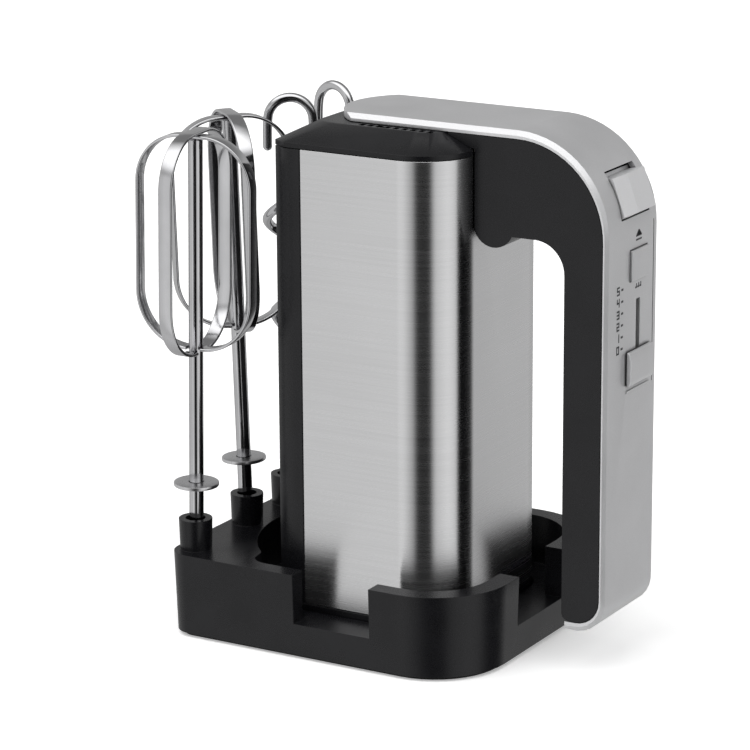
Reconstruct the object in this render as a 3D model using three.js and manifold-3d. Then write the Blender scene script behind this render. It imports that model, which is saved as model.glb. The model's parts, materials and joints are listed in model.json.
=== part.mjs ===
// Hand mixer on its storage stand, with two wire beaters and two dough hooks.
// Millimetres, +Z up. The origin is the centre of the stand's footprint, on the surface it stands on.
// +X runs from the beaters towards the handle, +Y to the back. The mixer stands nose up in the stand.
import * as THREE from 'three';
import { mergeVertices } from 'three/addons/utils/BufferGeometryUtils.js';
import Module from 'manifold-3d';

const wasm = await Module();
wasm.setup();

// ---------- driving dimensions ----------
const GAP = 0.3; // clearance between neighbouring pieces
const FAR = 300; // reach of a cutting tool past the whole object

const STAND = {
  left: -70.3, right: 70.4, half: 62.3, leftRadius: 9, rightRadius: 32,
  pad: 1.5, shelf: 15, top: 36, draft: 1.1,
};
const WELL = { arcX: 6, arcRadius: 61, half: 55.5, right: 62.5, radius: 25, cornerRadius: 9 };
const NOTCH = { frontFrom: -9.6, frontTo: 26, rightHalf: 20 };
const POST = {
  x: -63.3, y: [-51.9, -12.2, 20.2, 53], radius: 7, draft: 0.9, top: 49.1, bore: 4.2, socketFloor: 24,
};

const BODY = { left: -28.4, right: 52, half: 45.2, radius: 22.7, steelFrom: -14.7 };
const FACET = { run: 6.5, drop: 3.7, runLoss: 0.74, dropLoss: 0.42 }; // the losses are per mm of inset
const SLEEVE = { bottom: 17.9, top: 207.9, wall: 1.2 };
const CHASSIS_WALL = 2.4;
const NOSE = { lip: 210.2, top: 216.4, left: -18, right: 40, half: 29.5, radius: 9, wall: 2.4 };
const HEEL = { bottom: 7.3, chamfer: 6, inset: 5, wall: 2.4 };
const POCKET_FLOOR = 7;

const HANDLE = {
  half: 23.2, inner: 92.2, outer: 109, top: 216.7, bottom: 21.9, underside: 177.2,
  outerRadius: 38, innerRadius: 13, footRadius: 10.5, lobeX: 60.8, lobeZ: 181, lobeRadius: 9, wall: 2.4,
  saddle: 40.4,
};
const COVER = { topRise: 3, sideRise: 1.5, footRise: 3.9, bevel: 2.2, endX: -16.5, endRadius: 28 };

const MOTOR = {
  x: 12, shaft: 3, shaftZ: [42, 192], core: 17, coreZ: [82, 108], slots: 10,
  commutator: 9, commutatorZ: [58, 72], fan: 22, fanZ: [118, 129], blades: 9,
  worm: 4, wormZ: [159, 185], threads: 5, stackZ: [80, 110], windowX: 20.7, coilY: 10,
  bearing: 8, rearBearingZ: [45, 53], frontBearingZ: [149.4, 156], bracketZ: [38, 42], brushZ: [61, 68],
};
const SPINDLE = { y: 19.5, z: 172, outer: 6, bore: 3.3, from: -18.6, to: 33, socketTo: 12 };
const GEAR_FRAME = {
  left: -17, right: 38, half: 36, floor: 146, top: 198, wall: 3, bossFrom: 26, boss: 8.6,
};
const WHEEL = { from: 7.5, to: 16.5, hub: 13, tip: 14.2, teeth: 14 };
const EJECTOR = { from: -22.3, to: -20.3, half: 29, low: 164, high: 180, rodZ: 202, rodEnd: 91 };
const BEATER = {
  shaft: 3, loop: 26.3, ribbon: 6, thickness: 1.3, shaftFoot: 25.5, loopFoot: 121.5, loopTop: 211,
  topCorner: 21, footCorner: 23, collarZ: 63.3, collarRadius: 9.4, collar: 1.6, key: 3.5,
};
const HOOK = {
  wire: 2, radius: 9.5, pitch: 41.5, shaftTop: 108, helixTop: 183, archZ: 204.4, tip: 191,
  arch: 9.5,
};
const CONTROL_Y = 5.3; // centre line of the speed slot and the buttons
const KNOB = { width: 21.4, low: 117.4, high: 131.4, rise: 2.6, travel: 24 };
const TURBO = { width: 15, low: 159.5, high: 172, rise: 1.2 };
const FIELD = { groove: 18.4, rib: 10, low: 114.4, high: 181 };
const INLET_FOOT = 20.6; // set back inside the handle's foot
const PASSAGE = { half: 15, low: 183, high: 204 };
const EJECT = { y: 3, width: 24, length: 18, angle: 23, rise: 4.6, flank: 7, scoop: 2.2 };

// ---------- materials ----------
const finish = (color, roughness, metalness) =>
  new THREE.MeshStandardMaterial({ color, roughness, metalness });
const blackPlastic = finish(0x1c1c1f, 0.45, 0);
const steel = finish(0xb9bbbd, 0.32, 1);
const satinSilver = finish(0xa9abad, 0.38, 0.8);
const chrome = finish(0xd4d6d8, 0.12, 1);
const rubber = finish(0x151515, 0.85, 0);
const laminate = finish(0x6b6d70, 0.5, 0.8);
const copper = finish(0xb4632a, 0.4, 0.9);
const brass = finish(0xb08d46, 0.35, 0.9);
const carbon = finish(0x2a2a2a, 0.7, 0.1);
const nylon = finish(0xe4e0d2, 0.5, 0);
const board = finish(0x2c5e35, 0.6, 0);

// ---------- solids ----------
const object = new THREE.Group();

function add(name, geometry, material) {
  const mesh = new THREE.Mesh(geometry, material);
  mesh.name = name;
  object.add(mesh);
  return mesh;
}

function toSolid(geometry) {
  const bare = geometry.clone();
  bare.deleteAttribute('normal');
  bare.deleteAttribute('uv');
  const merged = mergeVertices(bare, 1e-4);
  return new wasm.Manifold(new wasm.Mesh({
    numProp: 3,
    vertProperties: new Float32Array(merged.attributes.position.array),
    triVerts: new Uint32Array(merged.index.array),
  }));
}

function toGeometry(solid) {
  const mesh = solid.getMesh();
  const geometry = new THREE.BufferGeometry();
  geometry.setAttribute('position', new THREE.BufferAttribute(mesh.vertProperties, 3));
  geometry.setIndex(new THREE.BufferAttribute(mesh.triVerts, 1));
  geometry.computeVertexNormals();
  return geometry;
}

const cut = (base, ...tools) =>
  toGeometry(tools.reduce((solid, tool) => solid.subtract(toSolid(tool)), toSolid(base)));
const join = (base, ...others) =>
  toGeometry(others.reduce((solid, other) => solid.add(toSolid(other)), toSolid(base)));
const common = (base, other) => toGeometry(toSolid(base).intersect(toSolid(other)));

function box(x0, x1, y0, y1, z0, z1) {
  const geometry = new THREE.BoxGeometry(x1 - x0, y1 - y0, z1 - z0);
  return geometry.translate((x0 + x1) / 2, (y0 + y1) / 2, (z0 + z1) / 2);
}

// A cylinder of a given radius from point to point.
function rod(from, to, radius, sides = 20, endRadius = radius) {
  const a = new THREE.Vector3(...from);
  const b = new THREE.Vector3(...to);
  const geometry = new THREE.CylinderGeometry(endRadius, radius, a.distanceTo(b), sides);
  const direction = b.clone().sub(a).normalize();
  const upright = new THREE.Vector3(0, 1, 0);
  geometry.applyQuaternion(new THREE.Quaternion().setFromUnitVectors(upright, direction));
  return geometry.translate(...a.add(b).multiplyScalar(0.5));
}

const tube = (from, to, radius, bore, sides = 16) => cut(
  rod(from, to, radius, sides),
  rod(
    new THREE.Vector3(...from).lerp(new THREE.Vector3(...to), -1).toArray(),
    new THREE.Vector3(...from).lerp(new THREE.Vector3(...to), 2).toArray(),
    bore, sides,
  ),
);

// Turns a triangle list inside out when its signed volume is negative.
function faceOutwards(geometry) {
  const p = geometry.attributes.position;
  const index = geometry.index.array;
  const corner = [new THREE.Vector3(), new THREE.Vector3(), new THREE.Vector3()];
  let volume = 0;
  for (let i = 0; i < index.length; i += 3) {
    corner.forEach((c, k) => c.fromBufferAttribute(p, index[i + k]));
    volume += corner[0].dot(corner[1].clone().cross(corner[2]));
  }
  if (volume < 0) {
    for (let i = 0; i < index.length; i += 3) {
      const first = index[i];
      index[i] = index[i + 1];
      index[i + 1] = first;
    }
  }
  geometry.computeVertexNormals();
  return geometry;
}

// A closed skin over outlines with the same number of points. place(u, v, height) gives a point.
function loft(stack, place = (u, v, h) => [u, v, h]) {
  const clockwise = THREE.ShapeUtils.isClockWise(stack[0][1]);
  const levels = stack.map(([height, outline]) => [height, clockwise ? outline.toReversed() : outline]);
  const count = levels[0][1].length;
  const position = levels.flatMap(([height, outline]) => outline.flatMap((p) => place(p.x, p.y, height)));
  const index = [];
  for (let level = 0; level + 1 < levels.length; level++) {
    for (let i = 0; i < count; i++) {
      const a = level * count + i;
      const b = level * count + ((i + 1) % count);
      index.push(a, b, b + count, a, b + count, a + count);
    }
  }
  const last = (levels.length - 1) * count;
  for (const [i, j, k] of THREE.ShapeUtils.triangulateShape(levels[0][1], [])) index.push(k, j, i);
  for (const [i, j, k] of THREE.ShapeUtils.triangulateShape(levels.at(-1)[1], [])) {
    index.push(last + i, last + j, last + k);
  }
  const geometry = new THREE.BufferGeometry();
  geometry.setAttribute('position', new THREE.Float32BufferAttribute(position, 3));
  geometry.setIndex(index);
  return faceOutwards(geometry);
}

const sideways = (u, v, h) => [u, h, v]; // an outline in X and Z, stacked along Y

// Points of an arc about (x, y), from one angle to another in degrees.
function arc(x, y, radius, from, to, steps) {
  return Array.from({ length: steps + 1 }, (_, i) => {
    const angle = THREE.MathUtils.degToRad(from + ((to - from) * i) / steps);
    return new THREE.Vector2(x + radius * Math.cos(angle), y + radius * Math.sin(angle));
  });
}

// A rectangle with one radius on its left corners and another on its right corners.
function plate(left, right, half, leftRadius, rightRadius, steps = 8) {
  return [
    ...arc(right - rightRadius, half - rightRadius, rightRadius, 0, 90, steps),
    ...arc(left + leftRadius, half - leftRadius, leftRadius, 90, 180, steps),
    ...arc(left + leftRadius, leftRadius - half, leftRadius, 180, 270, steps),
    ...arc(right - rightRadius, rightRadius - half, rightRadius, 270, 360, steps),
  ];
}

// The body's section: round corners on the right, a flat facet on each left corner.
function bodyPlate(inset, steps = 8) {
  const left = BODY.left + inset;
  const half = BODY.half - inset;
  const run = FACET.run - FACET.runLoss * inset;
  const drop = FACET.drop - FACET.dropLoss * inset;
  const facet = Array.from({ length: steps + 1 }, (_, i) =>
    new THREE.Vector2(left + run * (1 - i / steps), half - drop * (i / steps)));
  const mirrored = facet.map((p) => new THREE.Vector2(p.x, -p.y)).reverse();
  const radius = BODY.radius - inset;
  const right = BODY.right - inset - radius;
  return [
    ...arc(right, half - radius, radius, 0, 90, steps), ...facet,
    ...mirrored, ...arc(right, radius - half, radius, 270, 360, steps),
  ];
}
const prism = (outline, z0, z1) => loft([[z0, outline], [z1, outline]]);

// A solid of constant section swept along a curve.
function sweep(curve, section, steps) {
  const options = { steps, extrudePath: curve, bevelEnabled: false };
  return new THREE.ExtrudeGeometry(new THREE.Shape(section), options);
}
const circle = (radius, sides) => arc(0, 0, radius, 0, 360, sides).slice(0, -1);

// ---------- stand ----------
function buildStand() {
  const outline = (grow) => plate(
    STAND.left - grow, STAND.right + grow, STAND.half + grow,
    STAND.leftRadius + grow, STAND.rightRadius + grow, 10,
  );
  const floor = STAND.pad + GAP;
  const wall = loft([[floor, outline(0)], [STAND.top, outline(STAND.draft)]]);
  const frontX = WELL.right - WELL.radius;
  const frontY = WELL.half - WELL.radius;
  const sweepAngle = 46; // half the angle of the round left end
  const arcEnd = WELL.arcX - WELL.arcRadius * Math.cos(THREE.MathUtils.degToRad(sweepAngle));
  const cornerX = arcEnd + WELL.cornerRadius;
  const cornerY = WELL.half - WELL.cornerRadius;
  const well = prism([
    ...arc(frontX, frontY, WELL.radius, 0, 90, 8),
    ...arc(cornerX, cornerY, WELL.cornerRadius, 90, 150, 4),
    ...arc(WELL.arcX, 0, WELL.arcRadius, 180 - sweepAngle, 180 + sweepAngle, 14),
    ...arc(cornerX, -cornerY, WELL.cornerRadius, 210, 270, 4),
    ...arc(frontX, -frontY, WELL.radius, 270, 360, 8),
  ], STAND.shelf, FAR);
  const pocket = prism(bodyPlate(-0.8), POCKET_FLOOR, FAR);
  const notches = [
    box(NOTCH.frontFrom, NOTCH.frontTo, -FAR, -WELL.half + 9, STAND.shelf, FAR),
    box(NOTCH.frontFrom, NOTCH.frontTo, WELL.half - 9, FAR, STAND.shelf, FAR),
    box(WELL.right - 9, FAR, -NOTCH.rightHalf, NOTCH.rightHalf, STAND.shelf, FAR),
  ];
  const posts = POST.y.map((y) =>
    rod([POST.x, y, STAND.shelf], [POST.x, y, POST.top], POST.radius - POST.draft, 24, POST.radius));
  const sockets = POST.y.map((y) => rod([POST.x, y, POST.socketFloor], [POST.x, y, FAR], POST.bore));
  add('stand_base', cut(join(cut(wall, well, pocket, ...notches), ...posts), ...sockets), blackPlastic);
  add('non_slip_pad', prism(outline(-3), 0, STAND.pad), rubber);
}

// ---------- mixer casing ----------
function buildCasing() {
  // the passage into the handle for the leads and the eject rod
  const windowCut = box(HANDLE.inner - 70, FAR, -PASSAGE.half, PASSAGE.half, PASSAGE.low, PASSAGE.high);
  const ring = (wall, z0, z1) => cut(prism(bodyPlate(0), z0, z1), prism(bodyPlate(wall), z0 - 1, z1 + 1));
  const leftPart = box(-FAR, BODY.steelFrom - GAP, -FAR, FAR, -FAR, FAR);
  const rightPart = box(BODY.steelFrom, FAR, -FAR, FAR, -FAR, FAR);
  const socketHoles = [-1, 1].map((side) =>
    rod([-FAR, side * SPINDLE.y, SPINDLE.z], [-20, side * SPINDLE.y, SPINDLE.z], 5.2, 24));
  const screwHoles = screwPlaces().map(([y, z]) => rod([-FAR, y, z], [-20, y, z], 3.6, 16));
  add('chassis_moulding',
    cut(common(ring(CHASSIS_WALL, SLEEVE.bottom, SLEEVE.top), leftPart), ...socketHoles, ...screwHoles),
    blackPlastic);
  const sleeve = common(ring(SLEEVE.wall, SLEEVE.bottom, SLEEVE.top), rightPart);
  add('steel_sleeve', cut(sleeve, windowCut), steel);

  // nose cap: a lip, then sides that lean in to a flat top with vent slots
  const topPlate = (inset) =>
    plate(NOSE.left + inset, NOSE.right - inset, NOSE.half - inset,
      NOSE.radius - inset, NOSE.radius + 3 - inset);
  const nose = loft([
    [SLEEVE.top + GAP, bodyPlate(0)], [NOSE.lip, bodyPlate(0)], [NOSE.top, topPlate(0)],
  ]);
  const noseHollow = loft([
    [SLEEVE.top - 1, bodyPlate(NOSE.wall)], [NOSE.lip - 1, bodyPlate(NOSE.wall)],
    [NOSE.top - NOSE.wall, topPlate(NOSE.wall)],
  ]);
  const saddleHalf = HANDLE.half + GAP;
  const saddleCut = box(HANDLE.saddle - GAP, FAR, -saddleHalf, saddleHalf, SLEEVE.top - 1, FAR);
  const vents = [];
  for (const side of [-1, 1]) {
    for (let i = 0; i < 9; i++) {
      const x = 2 + i * 3.9;
      vents.push(box(x, x + 2.2, side * 26 - 1.7, side * 26 + 1.7, SLEEVE.top - 1, FAR));
    }
  }
  add('nose_cap', cut(nose, noseHollow, saddleCut, ...vents), blackPlastic);

  // heel cap: closes the other end, with air inlet slots
  const heel = loft([
    [HEEL.bottom, bodyPlate(HEEL.inset)], [HEEL.bottom + HEEL.chamfer, bodyPlate(0)],
    [SLEEVE.bottom - GAP, bodyPlate(0)],
  ]);
  const heelHollow = loft([
    [HEEL.bottom + HEEL.wall, bodyPlate(HEEL.inset + HEEL.wall)],
    [HEEL.bottom + HEEL.chamfer, bodyPlate(HEEL.wall)], [SLEEVE.bottom + 1, bodyPlate(HEEL.wall)],
  ]);
  const inlets = Array.from({ length: 7 }, (_, i) => box(-6 + i * 6, -3 + i * 6, -14, 14, 0, 12));
  add('heel_cap', cut(heel, heelHollow, ...inlets), blackPlastic);
  screwPlaces().forEach(([y, z], i) => {
    const head = rod([BODY.left + 0.4, y, z], [BODY.left + 2.4, y, z], 3.2, 16);
    const shank = rod([BODY.left + 1, y, z], [BODY.left + 11, y, z], 1.5, 10);
    const slot = [box(-FAR, BODY.left + 1.4, y - 2.2, y + 2.2, z - 0.4, z + 0.4)];
    add(`chassis_screw_${i + 1}`, cut(join(head, shank), ...slot), laminate);
  });
}

function screwPlaces() {
  return [[-36, 30], [36, 30], [-36, 198], [36, 198]];
}

// ---------- handle ----------
// Side outline of the handle's dark channel. inset shrinks it all round.
function handleOutline(inset) {
  const h = HANDLE;
  const rootX = BODY.right + GAP + inset;
  const outerX = h.outer - h.outerRadius;
  const outerZ = h.top - h.outerRadius;
  const footX = h.outer - h.footRadius;
  const footZ = h.bottom + h.footRadius;
  const cornerX = h.inner - h.innerRadius;
  const cornerZ = h.underside - h.innerRadius;
  return [
    new THREE.Vector2(rootX, h.top - GAP - inset),
    ...arc(outerX, outerZ, h.outerRadius - GAP - inset, 90, 0, 12),
    ...arc(footX, footZ, h.footRadius - GAP - inset, 0, -90, 6),
    ...arc(h.inner + 3, h.bottom + 3 + GAP, 3 - inset * 0.9, 270, 180, 3)
      .map((p) => p.setX(p.x + inset * 0.1)),
    ...arc(cornerX, cornerZ, h.innerRadius + inset, 0, 90, 12),
    ...arc(h.lobeX, h.lobeZ, h.lobeRadius - inset, 335, 200, 12),
  ];
}

// Side outline of the bright cover strip. raised 0 is its thin edge and raised 1 its full height.
function coverOutline(raised) {
  const h = HANDLE;
  const top = COVER.topRise * (0.4 + 0.6 * raised);
  const side = COVER.sideRise * (0.4 + 0.6 * raised);
  const foot = COVER.footRise * (0.4 + 0.6 * raised);
  const cx = h.outer - h.outerRadius;
  const cz = h.top - h.outerRadius;
  const fx = h.outer - h.footRadius;
  const fz = h.bottom + h.footRadius;
  // An arc whose radius runs evenly from one value to another.
  const blend = (x, z, from, to, a0, a1, steps) => Array.from({ length: steps + 1 }, (_, i) => {
    const angle = THREE.MathUtils.degToRad(a0 + ((a1 - a0) * i) / steps);
    const radius = from + ((to - from) * i) / steps;
    return new THREE.Vector2(x + radius * Math.cos(angle), z + radius * Math.sin(angle));
  });
  const outside = [
    new THREE.Vector2(COVER.endX - 5, h.top + top),
    ...blend(cx, cz, h.outerRadius + top, h.outerRadius + side, 90, 0, 16),
    ...blend(fx, fz, h.footRadius + side, h.footRadius + foot, 0, -90, 7),
    new THREE.Vector2(h.inner + 1.5 - raised, h.bottom - foot),
  ];
  const inside = [
    new THREE.Vector2(COVER.endX - 5, h.top),
    ...arc(cx, cz, h.outerRadius, 90, 0, 16),
    ...arc(fx, fz, h.footRadius, 0, -90, 7),
    new THREE.Vector2(h.inner + 1.5 - raised, h.bottom),
  ];
  return [...outside, ...inside.reverse()];
}

function ejectFrame() {
  const angle = THREE.MathUtils.degToRad(EJECT.angle);
  const cx = HANDLE.outer - HANDLE.outerRadius;
  const cz = HANDLE.top - HANDLE.outerRadius;
  const radius = HANDLE.outerRadius + COVER.sideRise;
  const matrix = new THREE.Matrix4().makeRotationY(-angle);
  matrix.setPosition(cx + radius * Math.cos(angle), EJECT.y, cz + radius * Math.sin(angle));
  return matrix; // local X points out of the handle, local Z up along it
}

function buildHandle() {
  const shell = loft([[-HANDLE.half, handleOutline(0)], [HANDLE.half, handleOutline(0)]], sideways);
  const saddle = box(
    HANDLE.saddle, BODY.right + 2, -HANDLE.half, HANDLE.half, SLEEVE.top + GAP + 2.7, HANDLE.top - GAP);
  const side = HANDLE.half - HANDLE.wall;
  const hollow = loft([[-side, handleOutline(HANDLE.wall)], [side, handleOutline(HANDLE.wall)]], sideways);
  const cx = HANDLE.outer - HANDLE.outerRadius;
  const cz = HANDLE.top - HANDLE.outerRadius;
  // the channel is open towards the cover, round the bend and down the grip
  const mouth = loft([-1, 1].map((s) => [s * side, [
    ...arc(cx, cz, HANDLE.outerRadius + 4, 90, 0, 12),
    new THREE.Vector2(HANDLE.outer + 4, HANDLE.bottom + 16),
    new THREE.Vector2(HANDLE.outer - 6, HANDLE.bottom + 16),
    ...arc(cx, cz, HANDLE.outerRadius - 6, 0, 90, 12),
  ]]), sideways);
  const passage = box(
    BODY.right - 1, BODY.right + 8, -PASSAGE.half, PASSAGE.half, PASSAGE.low, PASSAGE.high);
  const inletHole = rod([100, 0, 0], [100, 0, 40], 4.3, 20);
  add('handle_shell', cut(join(shell, saddle), hollow, mouth, passage, inletHole), blackPlastic);

  const edge = HANDLE.half;
  const strip = loft([
    [-edge, coverOutline(0)], [-edge + COVER.bevel, coverOutline(1)],
    [edge - COVER.bevel, coverOutline(1)], [edge, coverOutline(0)],
  ], sideways);
  const endX = COVER.endX + COVER.endRadius;
  const reach = THREE.MathUtils.radToDeg(Math.asin((edge + 1) / COVER.endRadius));
  const roundEnd = prism([
    new THREE.Vector2(FAR, -edge - 1), new THREE.Vector2(FAR, edge + 1),
    ...arc(endX, 0, COVER.endRadius, 180 - reach, 180 + reach, 12),
  ], -FAR, FAR);
  const slot = box(90, FAR, CONTROL_Y - 1.7, CONTROL_Y + 1.7, KNOB.low + 2.2, KNOB.high + 20);
  const turboHalf = TURBO.width / 2 + GAP;
  const turboHole = box(
    90, FAR, CONTROL_Y - turboHalf, CONTROL_Y + turboHalf, TURBO.low - GAP, TURBO.high + GAP);
  const ejectHole = box(
    -12, 20, -EJECT.width / 2 - GAP, EJECT.width / 2 + GAP,
    -EJECT.length / 2 - GAP, EJECT.length / 2 + EJECT.scoop,
  ).applyMatrix4(ejectFrame());
  // a fine groove marks the far side of the control field, and a low rib its foot
  const face = HANDLE.outer + COVER.sideRise;
  const groove = box(face - 0.4, FAR, FIELD.groove, FIELD.groove + 0.6, FIELD.low, FIELD.high);
  const rib = box(
    face - 0.5, face + 0.5, CONTROL_Y - FIELD.rib, CONTROL_Y + FIELD.rib, FIELD.low, FIELD.low + 0.9);
  const body = cut(common(strip, roundEnd), slot, turboHole, ejectHole, inletHole, groove);
  add('handle_cover', join(body, rib), satinSilver);
  add('cord_inlet', tube([100, 0, INLET_FOOT], [100, 0, 34], 4, 2.6, 20), rubber);
}

// ---------- controls ----------
function buildControls() {
  const half = EJECT.width / 2;
  const long = EJECT.length / 2;
  // a wide key whose front flank slopes; it sinks into the cover, and a flange inside holds it in
  const key = (drop) => [
    new THREE.Vector2(-4, -long), new THREE.Vector2(EJECT.rise - drop - 0.8, -long + 0.8),
    new THREE.Vector2(EJECT.rise - drop, long - 1.4), new THREE.Vector2(-4, long),
  ];
  const head = loft([
    [-half, key(3.2)], [-half + EJECT.flank, key(0)], [half - 2, key(0)], [half, key(1.2)],
  ], sideways);
  const flange = box(-5, -3.4, -half - 1.4, half + 1.4, -long - 1.4, long + 1.4);
  const stem = box(-9, -4, -4, 4, -4, 4);
  add('eject_button', join(head, flange, stem).applyMatrix4(ejectFrame()), satinSilver);

  const face = HANDLE.outer + COVER.sideRise;
  const y0 = CONTROL_Y - TURBO.width / 2;
  const y1 = CONTROL_Y + TURBO.width / 2;
  const turbo = join(
    box(HANDLE.outer - 2, face + TURBO.rise, y0, y1, TURBO.low, TURBO.high),
    box(HANDLE.outer - 3.2, HANDLE.outer - GAP, y0 - 1.5, y1 + 1.5, TURBO.low - 1.5, TURBO.high + 1.5));
  add('turbo_button', turbo, satinSilver);
  add('turbo_switch', join(
    box(97.5, 101.5, CONTROL_Y - 4, CONTROL_Y + 4, 162, 170),
    rod([101, CONTROL_Y, 166], [103.6, CONTROL_Y, 166], 2, 12)), blackPlastic);

  const k0 = CONTROL_Y - KNOB.width / 2;
  const k1 = CONTROL_Y + KNOB.width / 2;
  const knobOutline = [
    new THREE.Vector2(face + GAP, KNOB.low), new THREE.Vector2(face + KNOB.rise - 0.9, KNOB.low),
    new THREE.Vector2(face + KNOB.rise, KNOB.low + 2.2), new THREE.Vector2(face + KNOB.rise, KNOB.high - 3),
    new THREE.Vector2(face + KNOB.rise - 0.9, KNOB.high), new THREE.Vector2(face + GAP, KNOB.high),
  ];
  const knob = join(
    loft([[k0, knobOutline], [k1, knobOutline]], sideways),
    box(HANDLE.outer - 4, face + 1, CONTROL_Y - 1.3, CONTROL_Y + 1.3, KNOB.low + 4.6, KNOB.low + 8.6));
  add('speed_knob', knob, satinSilver);
  add('speed_carrier', cut(
    box(99.5, 106, CONTROL_Y - 5, CONTROL_Y + 5, KNOB.low + 1, KNOB.low + 13),
    box(104.7, 107, CONTROL_Y - 1.6, CONTROL_Y + 1.6, KNOB.low + 4.3, KNOB.low + 8.9)), blackPlastic);
  add('control_board', box(95.6, 97.2, -18, 18, 96, 172), board);
  const leadIn = new THREE.CatmullRomCurve3([[100, 0, 34.4], [100, 0, 50], [99, -4, 70], [98.5, -6, 95.4]]
    .map((p) => new THREE.Vector3(...p)));
  add('supply_lead', sweep(leadIn, circle(1.8, 8), 10), rubber);
  const motorRun = new THREE.CatmullRomCurve3([
    [95.4, -12, 174], [86, -12, 190], [70, -12, 194], [54, -12, 194],
    [45.5, -12, 186], [45, -12, 160], [45, -12, 122],
  ].map((p) => new THREE.Vector3(...p)));
  add('motor_lead', sweep(motorRun, circle(1.5, 6), 26), rubber);
}

// ---------- motor ----------
function buildMotor() {
  const m = MOTOR;
  const x = m.x;
  const onAxis = (z) => [x, 0, z];
  const sleeveOn = ([z0, z1], radius, sides, bore = m.shaft + GAP) =>
    tube(onAxis(z0), onAxis(z1), radius, bore, sides);
  add('armature_shaft', rod(onAxis(m.shaftZ[0]), onAxis(m.shaftZ[1]), m.shaft, 20), laminate);
  const turnedAbout = (geometry, i, count) =>
    geometry.rotateZ((i / count) * 2 * Math.PI).translate(x, 0, 0);
  const slots = Array.from({ length: m.slots }, (_, i) =>
    turnedAbout(box(m.core - 3.5, m.core + 3, -1.2, 1.2, 70, 120), i, m.slots));
  add('armature_core', cut(sleeveOn(m.coreZ, m.core, 30), ...slots), laminate);
  add('commutator', sleeveOn(m.commutatorZ, m.commutator, 18), copper);
  const [fanFoot, fanTop] = m.fanZ;
  const blades = Array.from({ length: m.blades }, (_, i) =>
    turnedAbout(box(7, m.fan - 0.5, -0.7, 0.7, fanFoot + 1, fanTop), i, m.blades));
  const disc = sleeveOn([fanFoot, fanFoot + 1.6], m.fan, 24, 7);
  add('cooling_fan', join(sleeveOn(m.fanZ, 7.5, 20), disc, ...blades), nylon);

  // worm: a sleeve with one raised helical thread
  class Thread extends THREE.Curve {
    getPoint(t, target = new THREE.Vector3()) {
      const angle = t * m.threads * 2 * Math.PI;
      const radius = m.worm + 0.1;
      const z = m.wormZ[0] + 2 + (m.wormZ[1] - m.wormZ[0] - 4) * t;
      return target.set(x + radius * Math.cos(angle), radius * Math.sin(angle), z);
    }
  }
  add('worm', join(sleeveOn(m.wormZ, m.worm, 20), sweep(new Thread(), circle(0.85, 5), 46)), laminate);

  // stator: a pack of laminations with two poles, each held by a coil
  const [stackFoot, stackTop] = m.stackZ;
  const poleWindows = [-1, 1].flatMap((sx) => [-1, 1].map((sy) => {
    const centre = x + sx * m.windowX;
    return box(centre - 3, centre + 3, sy * m.coilY - 5.6, sy * m.coilY + 5.6, 70, 120);
  }));
  const yoke = prism(plate(x - 27, x + 27, 31, 8, 8, 5), stackFoot, stackTop);
  const boreRod = rod(onAxis(70), onAxis(120), m.core + 0.7, 30);
  add('stator_core', cut(yoke, boreRod, ...poleWindows), laminate);
  [-1, 1].forEach((side, i) => {
    const y = [side * m.coilY - 5, side * m.coilY + 5];
    const outer = box(x - 23, x + 23, ...y, stackFoot - 5.5, stackTop + 5.5);
    const inner = box(x - 18.3, x + 18.3, y[0] - 1, y[1] + 1, stackFoot - 0.5, stackTop + 0.5);
    add(`field_coil_${i + 1}`, cut(outer, inner), copper);
  });

  // bearings, and the bracket that holds the rear one
  add('rear_bearing', sleeveOn(m.rearBearingZ, m.bearing, 16), brass);
  add('front_bearing', sleeveOn(m.frontBearingZ, m.bearing, 16), brass);
  const [bracketFoot, bracketTop] = m.bracketZ;
  const bracket = prism(plate(x - 33, x + 33, 38, 6, 6, 4), bracketFoot, bracketTop - GAP);
  const cup = tube(onAxis(bracketTop - 1), onAxis(52), m.bearing + 2.5, m.bearing + 0.4, 16);
  const airways = [-21, 21].map((dx) => box(x + dx - 7, x + dx + 7, -30, 30, 30, 60));
  const seatHole = rod(onAxis(30), onAxis(60), m.bearing + 0.4, 16);
  add('rear_bracket', cut(join(bracket, cup), seatHole, ...airways), nylon);

  // carbon brushes, each in a brass box
  const [brushFoot, brushTop] = m.brushZ;
  [-1, 1].forEach((side, i) => {
    const reach = (from, to) => [x + side * from, x + side * to].sort((a, b) => a - b);
    const carbonBlock = box(...reach(m.commutator + 0.3, 19), -2.5, 2.5, brushFoot, brushTop);
    add(`carbon_brush_${i + 1}`, carbonBlock, carbon);
    const holder = box(...reach(12, 24), -4, 4, brushFoot - 1.5, brushTop + 1.5);
    const channel = box(...reach(11, 23), -2.8, 2.8, brushFoot - 0.3, brushTop + 0.3);
    add(`brush_holder_${i + 1}`, cut(holder, channel), brass);
  });
}

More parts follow.
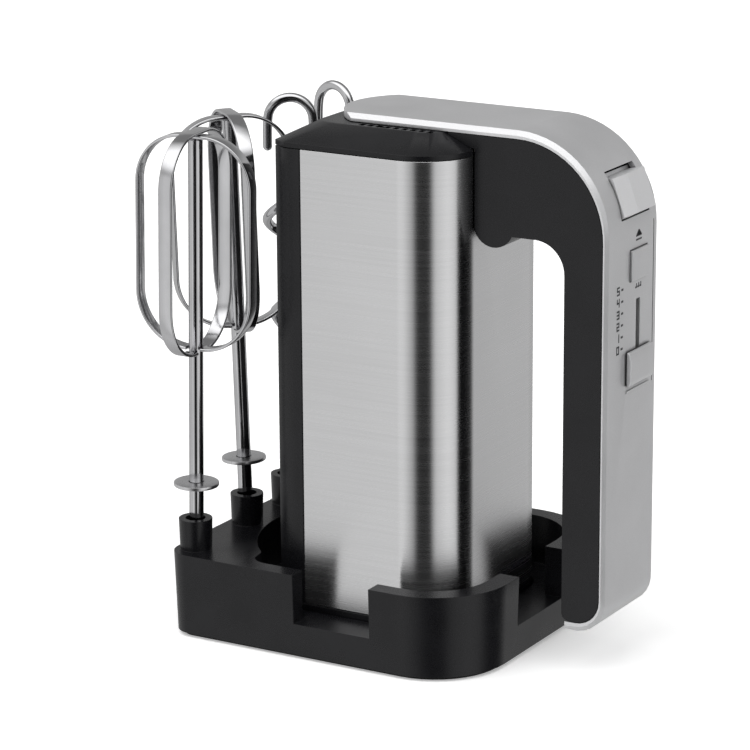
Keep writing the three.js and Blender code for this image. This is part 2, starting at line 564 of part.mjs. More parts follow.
// ---------- gearing and ejector ----------
function buildGearing() {
  const { y, z, outer, bore, from, to, socketTo } = SPINDLE;
  const g = GEAR_FRAME;
  const sides = [-1, 1];
  const alongX = (x0, x1, side, radius, segments = 24) =>
    rod([x0, side * y, z], [x1, side * y, z], radius, segments);

  // an open tray that carries the wheels, with a boss behind each
  const tray = cut(
    box(g.left, g.right, -g.half, g.half, g.floor, g.top),
    box(g.left + g.wall, g.right - g.wall, -g.half + 2, g.half - 2, g.floor + g.wall, FAR));
  const bosses = sides.map((side) => alongX(g.bossFrom, g.right - 2, side, g.boss));
  const bores = sides.map((side) => alongX(g.left - g.wall, to + 1, side, outer + GAP));
  const feed = rod([MOTOR.x, 0, g.floor - 6], [MOTOR.x, 0, g.floor + 4], MOTOR.shaft + 0.6, 24);
  add('gear_frame', cut(join(tray, ...bosses), ...bores, feed), nylon);

  const w = WHEEL;
  sides.forEach((side, i) => {
    const hub = tube([w.from, side * y, z], [w.to, side * y, z], w.hub, outer + GAP, 28);
    const teeth = Array.from({ length: w.teeth }, (_, k) =>
      box(w.from, w.to, -1.1, 1.1, w.hub - 0.6, w.tip)
        .rotateX(((k + 0.5) / w.teeth) * 2 * Math.PI).translate(0, side * y, z));
    add(`worm_wheel_${i + 1}`, join(hub, ...teeth), nylon);
    const socket = alongX(from - 1, socketTo, side, bore, 20);
    add(`spindle_${i + 1}`, cut(alongX(from, to, side, outer, 20), socket), laminate);
  });

  // the plate that pushes the attachments out, and the rod that links it to the eject key
  const e = EJECTOR;
  const crossbar = box(e.from, e.to, -e.half, e.half, e.low, e.high);
  const arm = box(e.from, e.to, -6, 6, z - 2, e.rodZ + 4);
  const pushHoles = sides.map((side) => alongX(e.from - 7, e.to + 10, side, 3.8, 20));
  add('ejector_plate', cut(join(crossbar, arm), ...pushHoles), steel);
  const rodBody = rod([e.to + GAP, 0, e.rodZ], [e.rodEnd, 0, e.rodZ], 1.9, 12);
  const rodFoot = box(e.rodEnd - 1, e.rodEnd + 1, -5, 5, 185, e.rodZ + 2.6);
  add('eject_rod', join(rodBody, rodFoot), steel);
}

// ---------- attachments ----------
// Stands an upright attachment in a post: turned about its shaft, then leaning towards +X about its foot.
function place(geometry, postIndex, turn, lean, rise = 0) {
  const pivot = [POST.x, POST.y[postIndex], BEATER.shaftFoot];
  geometry.translate(0, 0, rise - BEATER.shaftFoot);
  geometry.rotateZ(THREE.MathUtils.degToRad(turn));
  geometry.rotateY(THREE.MathUtils.degToRad(lean));
  return geometry.translate(...pivot);
}

// A flat ribbon loop, open at its foot where the shaft passes. It is drawn in X and Z about the shaft.
function ribbonLoop(grow) {
  const b = BEATER;
  const foot = b.loopFoot - grow;
  const top = b.loopTop + grow;
  const side = (radius, t) => [
    ...arc(radius - b.topCorner, top - b.topCorner, b.topCorner - t, 90, 0, 9),
    ...arc(radius - b.footCorner, foot + b.footCorner, b.footCorner - t, 0, -90, 9),
  ];
  const mirror = (points) => points.map((p) => new THREE.Vector2(-p.x, p.y)).reverse();
  const end = b.shaft + GAP;
  const outside = [...side(b.loop, 0), new THREE.Vector2(end, foot)];
  const inside = [new THREE.Vector2(end, foot + b.thickness), ...side(b.loop, b.thickness).reverse()];
  const half = b.ribbon / 2;
  const outline = [...mirror(outside), ...outside, ...inside, ...mirror(inside)];
  return loft([[-half, outline], [half, outline]], sideways);
}

function buildBeater(number, postIndex, turn, lean, rise) {
  const b = BEATER;
  const put = (name, geometry, material) =>
    add(`beater_${number}_${name}`, place(geometry, postIndex, turn, lean, rise), material);
  const shaft = rod([0, 0, b.shaftFoot], [0, 0, b.loopTop - b.thickness - GAP], b.shaft, 20);
  const keys = [0, 1].map((k) =>
    box(-b.key, b.key, -0.8, 0.8, b.shaftFoot + 3, b.shaftFoot + 6).rotateZ((k * Math.PI) / 2));
  put('shaft', join(shaft, ...keys), chrome);
  const collarTop = b.collarZ + b.collar;
  put('collar', tube([0, 0, b.collarZ], [0, 0, collarTop], b.collarRadius, b.shaft + GAP, 24), laminate);
  put('loop_1', ribbonLoop(0), chrome);
  put('loop_2', ribbonLoop(b.thickness + GAP).rotateZ(Math.PI / 2), chrome);
}

function buildHook(number, postIndex, turn, lean) {
  const h = HOOK;
  const points = [new THREE.Vector3(0, 0, h.shaftTop + 1.2)];
  const turns = (h.helixTop - h.shaftTop - 8) / h.pitch;
  const steps = 16;
  for (let i = 0; i <= steps; i++) {
    const t = i / steps;
    const angle = 2 * Math.PI * turns * (t - 1);
    const radius = h.radius * Math.min(1, 0.25 + t * 4);
    const z = h.shaftTop + 5 + (h.helixTop - h.shaftTop - 5) * t;
    points.push(new THREE.Vector3(radius * Math.cos(angle), radius * Math.sin(angle), z));
  }
  points.push(new THREE.Vector3(h.radius, 0, (h.helixTop + h.archZ) / 2));
  for (let i = 0; i <= 8; i++) {
    const angle = (i / 8) * Math.PI;
    const out = h.radius - h.arch + h.arch * Math.cos(angle);
    points.push(new THREE.Vector3(out, 0, h.archZ + h.arch * Math.sin(angle)));
  }
  points.push(new THREE.Vector3(h.radius - 2 * h.arch, 0, h.tip));
  const put = (name, geometry, material) =>
    add(`hook_${number}_${name}`, place(geometry, postIndex, turn, lean), material);
  put('spiral', sweep(new THREE.CatmullRomCurve3(points), circle(h.wire, 7), 68), chrome);
  put('shaft', rod([0, 0, BEATER.shaftFoot], [0, 0, h.shaftTop], BEATER.shaft, 20), chrome);
}

buildStand();
buildCasing();
buildHandle();
buildControls();
buildMotor();
buildGearing();
buildBeater(1, 0, 5, 1.15, 0);
buildBeater(2, 1, 48, -1.75, 0.2);
buildHook(1, 2, 30, 1.3);
buildHook(2, 3, -14, 1.9);

export default object;
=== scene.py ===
"""Hand mixer in its storage stand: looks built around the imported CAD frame. Metres, +Z up."""
import json
import math

import bmesh
import bpy
from mathutils import Matrix, Vector

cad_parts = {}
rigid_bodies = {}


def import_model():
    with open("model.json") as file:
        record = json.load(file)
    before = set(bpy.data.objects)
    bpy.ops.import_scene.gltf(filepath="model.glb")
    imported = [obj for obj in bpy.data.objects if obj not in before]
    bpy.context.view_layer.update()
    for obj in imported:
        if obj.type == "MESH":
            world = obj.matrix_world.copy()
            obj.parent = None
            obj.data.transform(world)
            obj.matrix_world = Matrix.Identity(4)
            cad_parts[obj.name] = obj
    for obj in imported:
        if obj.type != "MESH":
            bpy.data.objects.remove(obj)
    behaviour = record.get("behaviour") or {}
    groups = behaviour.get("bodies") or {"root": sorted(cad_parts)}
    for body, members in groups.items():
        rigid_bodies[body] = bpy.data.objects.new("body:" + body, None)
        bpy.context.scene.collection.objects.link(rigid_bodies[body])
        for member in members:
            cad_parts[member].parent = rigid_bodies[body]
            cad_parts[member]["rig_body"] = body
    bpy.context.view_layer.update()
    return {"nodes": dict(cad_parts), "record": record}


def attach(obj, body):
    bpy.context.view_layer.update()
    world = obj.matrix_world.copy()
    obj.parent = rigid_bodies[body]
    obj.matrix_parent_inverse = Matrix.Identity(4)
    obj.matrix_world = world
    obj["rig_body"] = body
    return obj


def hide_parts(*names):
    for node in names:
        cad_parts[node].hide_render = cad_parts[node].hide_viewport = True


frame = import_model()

MM = 0.001
NODES = frame["nodes"]
SLOT_OF = {row["node"]: row["material_slot"] for row in frame["record"]["subparts"]}


# ---------- camera ----------
AZIMUTH = 30.33  # degrees, from straight in front towards +X
ELEVATION = 15.51
ROLL = -0.36
DISTANCE = 1.42324
TARGET = Vector((-0.00714, 0.0, 0.10522))
LENS = 164.82
SENSOR = 36.0


def make_camera():
    azimuth, elevation, roll = (math.radians(a) for a in (AZIMUTH, ELEVATION, ROLL))
    level = math.cos(elevation)
    forward = Vector((-math.sin(azimuth) * level, math.cos(azimuth) * level, -math.sin(elevation)))
    right = Vector((math.cos(azimuth), math.sin(azimuth), 0.0))
    up = right.cross(forward)
    turned_right = math.cos(roll) * right + math.sin(roll) * up
    turned_up = -math.sin(roll) * right + math.cos(roll) * up
    camera = bpy.data.objects.new("camera", bpy.data.cameras.new("camera"))
    camera.data.lens = LENS
    camera.data.sensor_width = SENSOR
    camera.data.clip_end = 50.0
    rotation = Matrix((turned_right, turned_up, -forward)).transposed().to_4x4()
    camera.matrix_world = Matrix.Translation(TARGET - DISTANCE * forward) @ rotation
    bpy.context.scene.collection.objects.link(camera)
    bpy.context.scene.camera = camera


# ---------- node helpers ----------
class Nodes:
    """A small wrapper that adds and links shader nodes."""

    def __init__(self, tree):
        self.tree = tree
        tree.nodes.clear()

    def add(self, kind, inputs=None, **settings):
        node = self.tree.nodes.new("ShaderNode" + kind)
        for name, value in settings.items():
            setattr(node, name, value)
        for name, value in (inputs or {}).items():
            if isinstance(value, bpy.types.NodeSocket):
                self.tree.links.new(value, node.inputs[name])
            else:
                node.inputs[name].default_value = value
        return node

    def math(self, operation, a, b=0.0, c=0.0):
        return self.add("Math", {0: a, 1: b, 2: c}, operation=operation).outputs[0]

    def ramp(self, factor, stops, interpolation="LINEAR"):
        node = self.add("ValToRGB", {"Fac": factor})
        node.color_ramp.interpolation = interpolation
        elements = node.color_ramp.elements
        while len(elements) < len(stops):
            elements.new(0.5)
        for element, (position, value) in zip(elements, stops):
            element.position = position
            colour = (value, value, value) if isinstance(value, (int, float)) else value
            element.color = (*colour, 1.0)
        return node.outputs["Color"]

    def noise(self, vector, scale, detail=3.0, roughness=0.5):
        return self.add("TexNoise", {
            "Vector": vector, "Scale": scale, "Detail": detail, "Roughness": roughness}).outputs["Fac"]

    def stretch(self, vector, scale):
        return self.add("Mapping", {"Vector": vector, "Scale": scale}).outputs["Vector"]

    def remap(self, value, low, high, from_low=0.3, from_high=0.7):
        return self.add("MapRange", {
            "Value": value, "From Min": from_low, "From Max": from_high, "To Min": low, "To Max": high,
        }).outputs["Result"]


def new_material(name):
    material = bpy.data.materials.new(name)
    material.use_nodes = True
    nodes = Nodes(material.node_tree)
    position = nodes.add("TexCoord").outputs["Object"]
    shader = nodes.add("BsdfPrincipled")
    output = nodes.add("OutputMaterial", {"Surface": shader.outputs["BSDF"]})
    output.location = (400, 0)
    return material, nodes, position, shader


def link(nodes, value, shader, socket):
    nodes.tree.links.new(value, shader.inputs[socket])


# ---------- world and stage ----------
AZIMUTH_LIGHT = [  # direction in degrees from +X towards +Y, and brightness
    (-180, 0.42), (-150, 0.50), (-128, 0.46), (-113, 0.62), (-104, 0.58),
    (-86, 0.30), (-79, 0.06), (-75, 0.003),
    (-50, 0.003), (-45, 0.22), (-38, 0.50), (-12, 0.66), (6, 0.58), (14, 0.22), (20, 0.004),
    (50, 0.004), (55, 0.32), (61, 0.44), (85, 0.33), (125, 0.26), (150, 0.36), (180, 0.42),
]
WORLD_GAIN = 1.7
OVERHEAD = 2.0


def make_world():
    """Tall soft panels round the object, with dark gaps between them, and a soft box overhead in front."""
    world = bpy.data.worlds.new("studio")
    world.use_nodes = True
    bpy.context.scene.world = world
    nodes = Nodes(world.node_tree)
    direction = nodes.add("TexCoord").outputs["Generated"]
    axes = nodes.add("SeparateXYZ", {"Vector": direction})
    angle = nodes.math("ARCTAN2", axes.outputs["Y"], axes.outputs["X"])
    share = nodes.math("MULTIPLY_ADD", angle, 0.5 / math.pi, 0.5)
    panels = nodes.ramp(share, [((degrees + 180) / 360, value) for degrees, value in AZIMUTH_LIGHT])
    fade = nodes.ramp(axes.outputs["Z"], [(0.0, 1.0), (0.35, 1.0), (0.7, 0.15)])
    height = nodes.ramp(axes.outputs["Z"], [(0.0, 0.0), (0.45, 0.0), (0.75, 1.0), (1.0, 1.0)], "EASE")
    depth = nodes.math("MULTIPLY_ADD", axes.outputs["Y"], 0.5, 0.5)
    front = nodes.ramp(depth, [(0.0, 1.0), (0.45, 1.0), (0.68, 0.12)])
    lifted = nodes.math("MULTIPLY", nodes.math("MULTIPLY", height, front), OVERHEAD)
    walls = nodes.math("MULTIPLY", nodes.math("MULTIPLY", panels, fade), WORLD_GAIN)
    level = nodes.math("ADD", walls, lifted)
    background = nodes.add("Background", {"Color": (1.0, 1.0, 1.0, 1.0), "Strength": level})
    nodes.add("OutputWorld", {"Surface": background.outputs["Background"]})


def make_floor():
    mesh = bpy.data.meshes.new("floor")
    half = 6.0
    corners = [(-half, -half, 0), (half, -half, 0), (half, half, 0), (-half, half, 0)]
    mesh.from_pydata(corners, [], [(0, 1, 2, 3)])
    floor = bpy.data.objects.new("floor", mesh)
    bpy.context.scene.collection.objects.link(floor)
    material, nodes, position, shader = new_material("floor_paper")
    tone = nodes.remap(nodes.noise(position, 6.0), 0.93, 0.96)
    link(nodes, nodes.ramp(tone, [(0.0, 0.0), (1.0, 1.0)]), shader, "Base Color")
    shader.inputs["Roughness"].default_value = 0.9
    shader.inputs["Emission Color"].default_value = (1.0, 1.0, 1.0, 1.0)
    shader.inputs["Emission Strength"].default_value = 0.34
    mesh.materials.append(material)
    floor.visible_glossy = False


# ---------- materials ----------
def moulded_plastic(name, colour, roughness, grain=0.05, shine=0.5):
    """Injection-moulded plastic: a faint spark-eroded grain, and patches handled a little smoother."""
    material, nodes, position, shader = new_material(name)
    patches = nodes.noise(position, 45.0, 4.0)
    grains = nodes.noise(position, 2600.0, 2.0)
    dark = tuple(c * 0.82 for c in colour)
    light = tuple(c * 1.25 + 0.001 for c in colour)
    link(nodes, nodes.ramp(patches, [(0.3, dark), (0.7, light)]), shader, "Base Color")
    rough = nodes.math("ADD", nodes.remap(patches, roughness - 0.04, roughness + 0.05),
                       nodes.remap(grains, -0.03, 0.03))
    link(nodes, rough, shader, "Roughness")
    bump = nodes.add("Bump", {"Height": grains, "Strength": grain, "Distance": 0.0001})
    link(nodes, bump.outputs["Normal"], shader, "Normal")
    shader.inputs["Specular IOR Level"].default_value = shine
    return material


def brushed_steel(name):
    """Stainless steel brushed round the sleeve, with long fine lines and a soft clouding."""
    material, nodes, position, shader = new_material(name)
    lines = nodes.noise(nodes.stretch(position, (18.0, 18.0, 5200.0)), 1.0, 5.0, 0.65)
    coarse = nodes.noise(nodes.stretch(position, (7.0, 7.0, 900.0)), 1.0, 3.0)
    clouds = nodes.noise(position, 22.0, 4.0)
    mixed = nodes.math("ADD", nodes.math("MULTIPLY", lines, 0.6), nodes.math("MULTIPLY", coarse, 0.4))
    tone = nodes.math("ADD", nodes.math("MULTIPLY", mixed, 0.75), nodes.math("MULTIPLY", clouds, 0.25))
    colour = nodes.ramp(tone, [(0.3, (0.54, 0.54, 0.545)), (0.7, (0.63, 0.63, 0.635))])
    link(nodes, colour, shader, "Base Color")
    link(nodes, nodes.remap(mixed, 0.24, 0.29), shader, "Roughness")
    shader.inputs["Metallic"].default_value = 1.0
    shader.inputs["Anisotropic"].default_value = 0.85
    shader.inputs["Anisotropic Rotation"].default_value = 0.25
    tangent = nodes.add("Tangent", direction_type="RADIAL", axis="Z")
    link(nodes, tangent.outputs["Tangent"], shader, "Tangent")
    bump = nodes.add("Bump", {"Height": mixed, "Strength": 0.025, "Distance": 0.00003})
    link(nodes, bump.outputs["Normal"], shader, "Normal")
    return material


def satin_silver(name, dark=0.58, light=0.72):
    """Silver lacquer over moulded plastic: a metal-flake sparkle, and painted shade: an ambient-occlusion
    darkening of the colour down in the gaps.
    """
    material, nodes, position, shader = new_material(name)
    flakes = nodes.noise(position, 5200.0, 1.0)
    drift = nodes.noise(position, 30.0, 3.0)
    mixed = nodes.math("ADD", nodes.math("MULTIPLY", flakes, 0.5), nodes.math("MULTIPLY", drift, 0.5))
    tone = nodes.ramp(mixed, [(0.3, (dark, dark, dark * 1.015)), (0.7, (light, light, light * 1.015))])
    # painted shade: ambient occlusion multiplies the base colour darker in gaps and recesses, standing in
    # for the shade that falls there
    shade = nodes.add("AmbientOcclusion", {"Distance": 0.0022}, samples=8)
    painted_gap_shade = nodes.ramp(shade.outputs["AO"], [(0.25, 0.12), (0.85, 1.0)])
    painted_gap_shade_mix = nodes.add("Mix", {6: tone, 7: painted_gap_shade, 0: 1.0}, data_type="RGBA", blend_type="MULTIPLY")
    link(nodes, painted_gap_shade_mix.outputs[2], shader, "Base Color")
    link(nodes, nodes.remap(mixed, 0.34, 0.44), shader, "Roughness")
    shader.inputs["Metallic"].default_value = 0.75
    bump = nodes.add("Bump", {"Height": flakes, "Strength": 0.04, "Distance": 0.00003})
    link(nodes, bump.outputs["Normal"], shader, "Normal")
    return material


def plated_metal(name, colour, roughness):
    """Bright plated or bare metal with fine handling marks."""
    material, nodes, position, shader = new_material(name)
    marks = nodes.noise(nodes.stretch(position, (700.0, 700.0, 60.0)), 1.0, 4.0)
    haze = nodes.noise(position, 60.0, 3.0)
    dull = tuple(c * 0.88 for c in colour)
    link(nodes, nodes.ramp(haze, [(0.3, dull), (0.7, colour)]), shader, "Base Color")
    link(nodes, nodes.remap(marks, roughness, roughness + 0.08), shader, "Roughness")
    shader.inputs["Metallic"].default_value = 1.0
    bump = nodes.add("Bump", {"Height": marks, "Strength": 0.03, "Distance": 0.00004})
    link(nodes, bump.outputs["Normal"], shader, "Normal")
    return material


MATERIALS = {
    "black_plastic": moulded_plastic("black_plastic", (0.0055, 0.0055, 0.0066), 0.27, shine=0.27),
    "rubber": moulded_plastic("rubber", (0.008, 0.008, 0.008), 0.75, 0.12, 0.2),
    "brushed_steel": brushed_steel("brushed_steel"),
    "satin_silver": satin_silver("satin_silver"),
    # painted light: a lighter copy of the satin silver, standing in for the brighter light the angled eject
    # key catches
    "satin_key_painted_light": satin_silver("satin_key_painted_light", 0.80, 0.90),
    "inner_steel": plated_metal("inner_steel", (0.42, 0.42, 0.43), 0.30),
    "collar": plated_metal("collar", (0.60, 0.60, 0.61), 0.26),
    "copper": plated_metal("copper", (0.62, 0.27, 0.12), 0.32),
    "brass": plated_metal("brass", (0.66, 0.47, 0.18), 0.28),
    "carbon": moulded_plastic("carbon", (0.020, 0.020, 0.021), 0.60, 0.10),
    "nylon": moulded_plastic("nylon", (0.62, 0.61, 0.58), 0.42),
    "board": moulded_plastic("board", (0.02, 0.11, 0.045), 0.35),
    "chrome": plated_metal("chrome", (0.52, 0.52, 0.53), 0.09),
    "print": moulded_plastic("print", (0.03, 0.03, 0.035), 0.5),
}


# ---------- pieces ----------
def put(name, mesh, slot, body, *nodes, material=None, smooth=True):
    """Adds a finished mesh as a piece that rides on a body and stands for CAD nodes."""
    mesh.materials.clear()
    mesh.materials.append(MATERIALS[material or slot])
    for polygon in mesh.polygons:
        polygon.use_smooth = smooth
    piece = bpy.data.objects.new(name, mesh)
    bpy.context.scene.collection.objects.link(piece)
    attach(piece, body)
    if nodes:
        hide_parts(*nodes)
    return piece


def body_of(node):
    return NODES[node]["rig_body"]


def refine(node, width=0.6, segments=3, angle=32.0, material=None):
    """A fine copy of a CAD node: its flat triangles joined, its edges rounded, its curves shaded smooth."""
    mesh = bpy.data.meshes.new(node + "_fine")
    work = bmesh.new()
    work.from_mesh(NODES[node].data)
    bmesh.ops.remove_doubles(work, verts=work.verts, dist=0.02 * MM)
    if width:
        bmesh.ops.dissolve_limit(
            work, angle_limit=math.radians(1.0), verts=work.verts, edges=work.edges, delimit={"NORMAL"})
    bmesh.ops.join_triangles(
        work, faces=work.faces,
        angle_face_threshold=math.radians(12.0), angle_shape_threshold=math.radians(50.0))
    work.to_mesh(mesh)
    work.free()
    piece = put(node + "_skin", mesh, SLOT_OF[node], body_of(node), node, material=material)
    if not width:
        mesh.set_sharp_from_angle(angle=math.radians(angle))
    if width:
        bevel = piece.modifiers.new("rounded_edges", "BEVEL")
        bevel.width = width * MM
        bevel.segments = segments
        bevel.limit_method = "ANGLE"
        bevel.angle_limit = math.radians(angle)
        bevel.miter_outer = "MITER_ARC"
        bevel.harden_normals = False
    normals = piece.modifiers.new("even_normals", "WEIGHTED_NORMAL")
    normals.keep_sharp = True
    return piece


def dress_cad_nodes():
    """Every CAD node that stays in view gets its slot's procedural material."""
    for node, piece in NODES.items():
        piece.data.materials.clear()
        piece.data.materials.append(MATERIALS[SLOT_OF[node]])


# ---------- swept and turned shapes ----------
def rounded_box(half_u, half_v, radius, steps=4):
    """A rounded rectangle as (u, v) points, anticlockwise."""
    points = []
    for corner, (su, sv) in enumerate(((1, 1), (-1, 1), (-1, -1), (1, -1))):
        for i in range(steps + 1):
            angle = math.radians(90 * (corner + i / steps))
            points.append((su * (half_u - radius) + radius * math.cos(angle),
                           sv * (half_v - radius) + radius * math.sin(angle)))
    return points


def disc(radius, count):
    return [(radius * math.cos(2 * math.pi * i / count), radius * math.sin(2 * math.pi * i / count))
            for i in range(count)]


def sweep(work, frames, section):
    """Adds a capped skin through (centre, u axis, v axis, scale) frames."""
    rings = []
    for centre, u_axis, v_axis, scale in frames:
        rings.append([work.verts.new(centre + (u_axis * u + v_axis * v) * scale) for u, v in section])
    count = len(section)
    for a, b in zip(rings, rings[1:]):
        for i in range(count):
            work.faces.new((a[i], a[(i + 1) % count], b[(i + 1) % count], b[i]))
    work.faces.new(rings[0][::-1])
    work.faces.new(rings[-1])


def turned(work, profile, count=64):
    """Adds a body turned about Z from a closed (radius, z) profile, or one that ends on the axis."""
    rings = []
    for radius, z in profile:
        if radius < 1e-6:
            rings.append([work.verts.new((0, 0, z))])
        else:
            rings.append([work.verts.new((x, y, z)) for x, y in disc(radius, count)])
    pairs = list(zip(rings, rings[1:]))
    if len(rings[0]) > 1:
        pairs.append((rings[-1], rings[0]))
    for a, b in pairs:
        for i in range(count):
            quad = [a[i % len(a)], a[(i + 1) % len(a)], b[(i + 1) % len(b)], b[i % len(b)]]
            unique = list(dict.fromkeys(quad))
            if len(unique) > 2:
                work.faces.new(unique)


def finish(name, work, matrix=None):
    """Turns a work mesh in millimetres into a mesh in metres."""
    bmesh.ops.recalc_face_normals(work, faces=work.faces)
    if matrix:
        bmesh.ops.transform(work, matrix=matrix, verts=work.verts)
    bmesh.ops.scale(work, vec=(MM, MM, MM), verts=work.verts)
    mesh = bpy.data.meshes.new(name)
    work.to_mesh(mesh)
    work.free()
    return mesh


def smooth_edges(mesh, angle=35.0):
    mesh.set_sharp_from_angle(angle=math.radians(angle))


# ---------- attachments ----------
POST_X = -63.3
POST_Y = (-51.9, -12.2, 20.2, 53.0)
SHAFT = 3.0
SHAFT_FOOT = 25.5


def seat(post, turn, lean, rise=0.0):
    """The place of an attachment that leans in its post."""
    return (Matrix.Translation((POST_X, POST_Y[post], SHAFT_FOOT))
            @ Matrix.Rotation(math.radians(lean), 4, "Y") @ Matrix.Rotation(math.radians(turn), 4, "Z")
            @ Matrix.Translation((0, 0, rise - SHAFT_FOOT)))


def shaft_mesh(name, top, matrix):
    """A round shaft with a rounded tip and, at its foot, two crossed lugs that lock into the spindle."""
    work = bmesh.new()
    turned(work, [(0, SHAFT_FOOT), (SHAFT - 0.7, SHAFT_FOOT), (SHAFT - 0.2, SHAFT_FOOT + 0.2),
                  (SHAFT, SHAFT_FOOT + 0.7), (SHAFT, top - 0.5), (SHAFT - 0.5, top), (0, top)])
    for turn in (0.0, 90.0):
        lug = bmesh.ops.create_cube(work, size=1.0)
        place = (Matrix.Rotation(math.radians(turn), 4, "Z") @ Matrix.Translation((0, 0, SHAFT_FOOT + 4.5))
                 @ Matrix.Diagonal((7.0, 1.6, 3.0, 1.0)))
        bmesh.ops.transform(work, matrix=place, verts=lug["verts"])
    return finish(name, work, matrix)


def collar_mesh(name, z, thickness, radius, matrix):
    work = bmesh.new()
    bore, edge = SHAFT + 0.3, 0.45
    turned(work, [(bore, z), (radius - edge, z), (radius - 0.12, z + 0.14), (radius, z + edge),
                  (radius, z + thickness - edge), (radius - 0.12, z + thickness - 0.14),
                  (radius - edge, z + thickness), (bore + 2.2, z + thickness), (bore, z + thickness)])
    return finish(name, work, matrix)


LOOP = 26.3
RIBBON = 6.0
THICK = 1.3
LOOP_FOOT = 121.5
LOOP_TOP = 211.0
TOP_CORNER = 21.0
FOOT_CORNER = 23.0


def ribbon_mesh(name, grow, turn, matrix):
    """One flat wire loop of a beater, bent from ribbon with rounded edges."""
    foot, top = LOOP_FOOT - grow, LOOP_TOP + grow
    half = THICK / 2
    path = [(SHAFT + 0.3, foot + half, -90.0)]
    for cx, cz, radius, start in ((LOOP - FOOT_CORNER, foot + FOOT_CORNER, FOOT_CORNER, -90.0),
                                  (LOOP - TOP_CORNER, top - TOP_CORNER, TOP_CORNER, 0.0)):
        for i in range(25):
            angle = start + 90.0 * i / 24
            path.append((cx + (radius - half) * math.cos(math.radians(angle)),
                         cz + (radius - half) * math.sin(math.radians(angle)), angle))
    path += [(-x, z, 180.0 - angle) for x, z, angle in reversed(path)]
    frames = []
    for x, z, angle in path:
        outward = Vector((math.cos(math.radians(angle)), 0.0, math.sin(math.radians(angle))))
        frames.append((Vector((x, 0.0, z)), outward, Vector((0.0, 1.0, 0.0)), 1.0))
    work = bmesh.new()
    sweep(work, frames, rounded_box(half, RIBBON / 2, 0.5))
    return finish(name, work, matrix @ Matrix.Rotation(math.radians(turn), 4, "Z"))


def build_beater(number, post, turn, lean, rise):
    matrix = seat(post, turn, lean, rise)
    body = f"beater_{number}"
    shaft = shaft_mesh(body + "_bar", LOOP_TOP - THICK - 0.3, matrix)
    collar = collar_mesh(body + "_disc", 63.3, 1.6, 9.4, matrix)
    first = ribbon_mesh(body + "_ribbon_1", 0.0, 0.0, matrix)
    second = ribbon_mesh(body + "_ribbon_2", THICK + 0.3, 90.0, matrix)
    for mesh, node in ((shaft, "shaft"), (collar, "collar"), (first, "loop_1"), (second, "loop_2")):
        put(mesh.name, mesh, SLOT_OF[f"{body}_{node}"], body, f"{body}_{node}",
            material="collar" if node == "collar" else None)
        smooth_edges(mesh)


def spline(points, steps):
    """A centripetal Catmull-Rom curve through the points."""
    ends = [points[0] * 2 - points[1]] + points + [points[-1] * 2 - points[-2]]
    out = []
    for p0, p1, p2, p3 in zip(ends, ends[1:], ends[2:], ends[3:]):
        t0 = 0.0
        t1 = t0 + math.sqrt((p1 - p0).length)
        t2 = t1 + math.sqrt((p2 - p1).length)
        t3 = t2 + math.sqrt((p3 - p2).length)
        for i in range(steps):
            t = t1 + (t2 - t1) * i / steps
            a1 = p0 * ((t1 - t) / (t1 - t0)) + p1 * ((t - t0) / (t1 - t0))
            a2 = p1 * ((t2 - t) / (t2 - t1)) + p2 * ((t - t1) / (t2 - t1))
            a3 = p2 * ((t3 - t) / (t3 - t2)) + p3 * ((t - t2) / (t3 - t2))
            b1 = a1 * ((t2 - t) / (t2 - t0)) + a2 * ((t - t0) / (t2 - t0))
            b2 = a2 * ((t3 - t) / (t3 - t1)) + a3 * ((t - t1) / (t3 - t1))
            out.append(b1 * ((t2 - t) / (t2 - t1)) + b2 * ((t - t1) / (t2 - t1)))
    return out + [points[-1]]


def wire_frames(points, tip):
    """Frames that don't twist along a wire, its last end rounded."""
    frames = []
    side = Vector((0.0, 1.0, 0.0))
    for i, point in enumerate(points):
        along = (points[min(i + 1, len(points) - 1)] - points[max(i - 1, 0)]).normalized()
        side = (side - along * side.dot(along)).normalized()
        frames.append((point, side, along.cross(side), 1.0))
    centre, u_axis, v_axis, _ = frames.pop()
    along = u_axis.cross(v_axis)
    for i in range(6):
        angle = math.radians(15 * i)
        frames.append((centre + along * (tip * (math.sin(angle) - 1.0)), u_axis, v_axis, math.cos(angle)))
    return frames


WIRE = 2.0
HELIX = {"radius": 9.5, "pitch": 41.5, "foot": 108.0, "top": 183.0}
ARCH = {"radius": 9.5, "z": 204.4, "tip": 191.0}


def build_hook(number, post, turn, lean):
    matrix = seat(post, turn, lean)
    body = f"hook_{number}"
    foot, top, radius, arch = HELIX["foot"], HELIX["top"], HELIX["radius"], ARCH["radius"]
    points = [Vector((0, 0, foot + 1.2))]
    turns = (top - foot - 8) / HELIX["pitch"]
    for i in range(17):
        t = i / 16
        angle = 2 * math.pi * turns * (t - 1)
        reach = radius * min(1, 0.25 + t * 4)
        z = foot + 5 + (top - foot - 5) * t
        points.append(Vector((reach * math.cos(angle), reach * math.sin(angle), z)))
    points.append(Vector((radius, 0, (top + ARCH["z"]) / 2)))
    for i in range(9):
        angle = i / 8 * math.pi
        out = radius - arch + arch * math.cos(angle)
        points.append(Vector((out, 0, ARCH["z"] + arch * math.sin(angle))))
    points.append(Vector((radius - 2 * arch, 0, ARCH["tip"])))
    work = bmesh.new()
    sweep(work, wire_frames(spline(points, 8), WIRE), disc(WIRE, 20))
    spiral = finish(body + "_wire", work, matrix)
    shaft = shaft_mesh(body + "_bar", foot, matrix)
    for mesh, node in ((spiral, "spiral"), (shaft, "shaft")):
        put(mesh.name, mesh, SLOT_OF[f"{body}_{node}"], body, f"{body}_{node}")
        smooth_edges(mesh)


# ---------- marks on the control field ----------
FACE = 110.5  # the grip's outer face
STROKE = 0.7
# 0 to 5 in the usual seven strokes: a is the top one, g the middle one
DIGITS = ("abcdef", "bc", "abged", "abgcd", "fgbc", "afgcd")
DIGIT = {"y": -13.2, "z": 132.4, "pitch": 4.8, "wide": 1.7, "high": 2.8}
CONTROL_Y = 5.3  # centre line of the keys


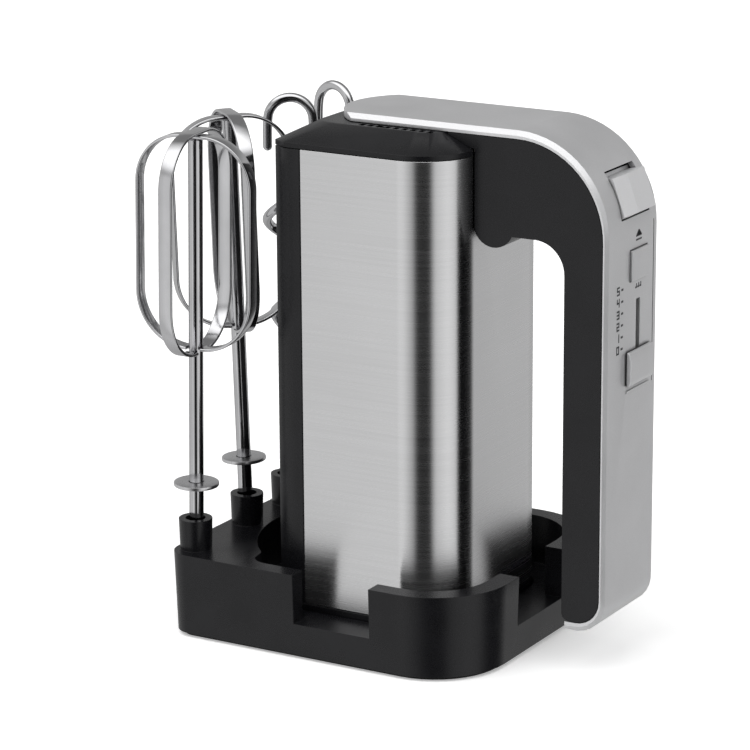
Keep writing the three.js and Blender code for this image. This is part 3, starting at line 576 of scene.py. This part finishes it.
def stroke(work, y0, y1, z0, z1):
    cube = bmesh.ops.create_cube(work, size=1.0)
    centre = Vector((FACE + 0.01, (y0 + y1) / 2, (z0 + z1) / 2))
    size = Vector((0.06, abs(y1 - y0) + STROKE, abs(z1 - z0) + STROKE))
    place = Matrix.Translation(centre) @ Matrix.Diagonal((*size, 1.0))
    bmesh.ops.transform(work, matrix=place, verts=cube["verts"])


def build_marks():
    work = bmesh.new()
    left, right = DIGIT["y"], DIGIT["y"] + DIGIT["wide"]
    for step, strokes in enumerate(DIGITS):
        low = DIGIT["z"] + DIGIT["pitch"] * step
        mid, top = low + DIGIT["high"] / 2, low + DIGIT["high"]
        lines = {"a": (left, right, top, top), "b": (right, right, mid, top), "c": (right, right, low, mid),
                 "d": (left, right, low, low), "e": (left, left, low, mid), "f": (left, left, mid, top),
                 "g": (left, right, mid, mid)}
        for letter in strokes:
            stroke(work, *lines[letter])
        stroke(work, left + 3.8, left + 4.9, mid - 0.1, mid + 0.1)
    for i in range(6):  # an arrowhead over a bar, below the eject key
        half = 2.2 - 0.4 * i
        stroke(work, CONTROL_Y - half, CONTROL_Y + half, 177.0 + 0.4 * i, 177.0 + 0.4 * i)
    stroke(work, CONTROL_Y - 2.2, CONTROL_Y + 2.2, 175.4, 175.4)
    for y in (CONTROL_Y - 1.9, CONTROL_Y, CONTROL_Y + 1.9):  # three bars, below the turbo button
        stroke(work, y - 0.4, y + 0.4, 156.2, 156.2)
        stroke(work, y + 0.4, y + 0.4, 156.2, 157.4)
    mesh = finish("control_marks", work)
    put("control_marks", mesh, "black_plastic", "mixer", material="print", smooth=False)


make_camera()
make_world()
make_floor()
dress_cad_nodes()
refine("stand_base", 0.7)
refine("chassis_moulding", 0.35, 2)
refine("steel_sleeve", 0.2, 2)
refine("nose_cap", 0.5)
refine("heel_cap", 0.5)
refine("handle_shell", 0.6)
refine("handle_cover", 0.0, angle=15.0)
# the eject key takes the lighter satin silver copy, which is painted light for the light its angle catches
refine("eject_button", 0.8, angle=18.0, material="satin_key_painted_light")
refine("turbo_button", 0.5)
refine("speed_knob", 0.6)
build_beater(1, 0, 5.0, 1.15, 0.0)
build_beater(2, 1, 48.0, -1.75, 0.2)
build_hook(1, 2, 30.0, 1.3)
build_hook(2, 3, -14.0, 1.9)
build_marks()

bpy.context.scene.view_settings.view_transform = "Standard"
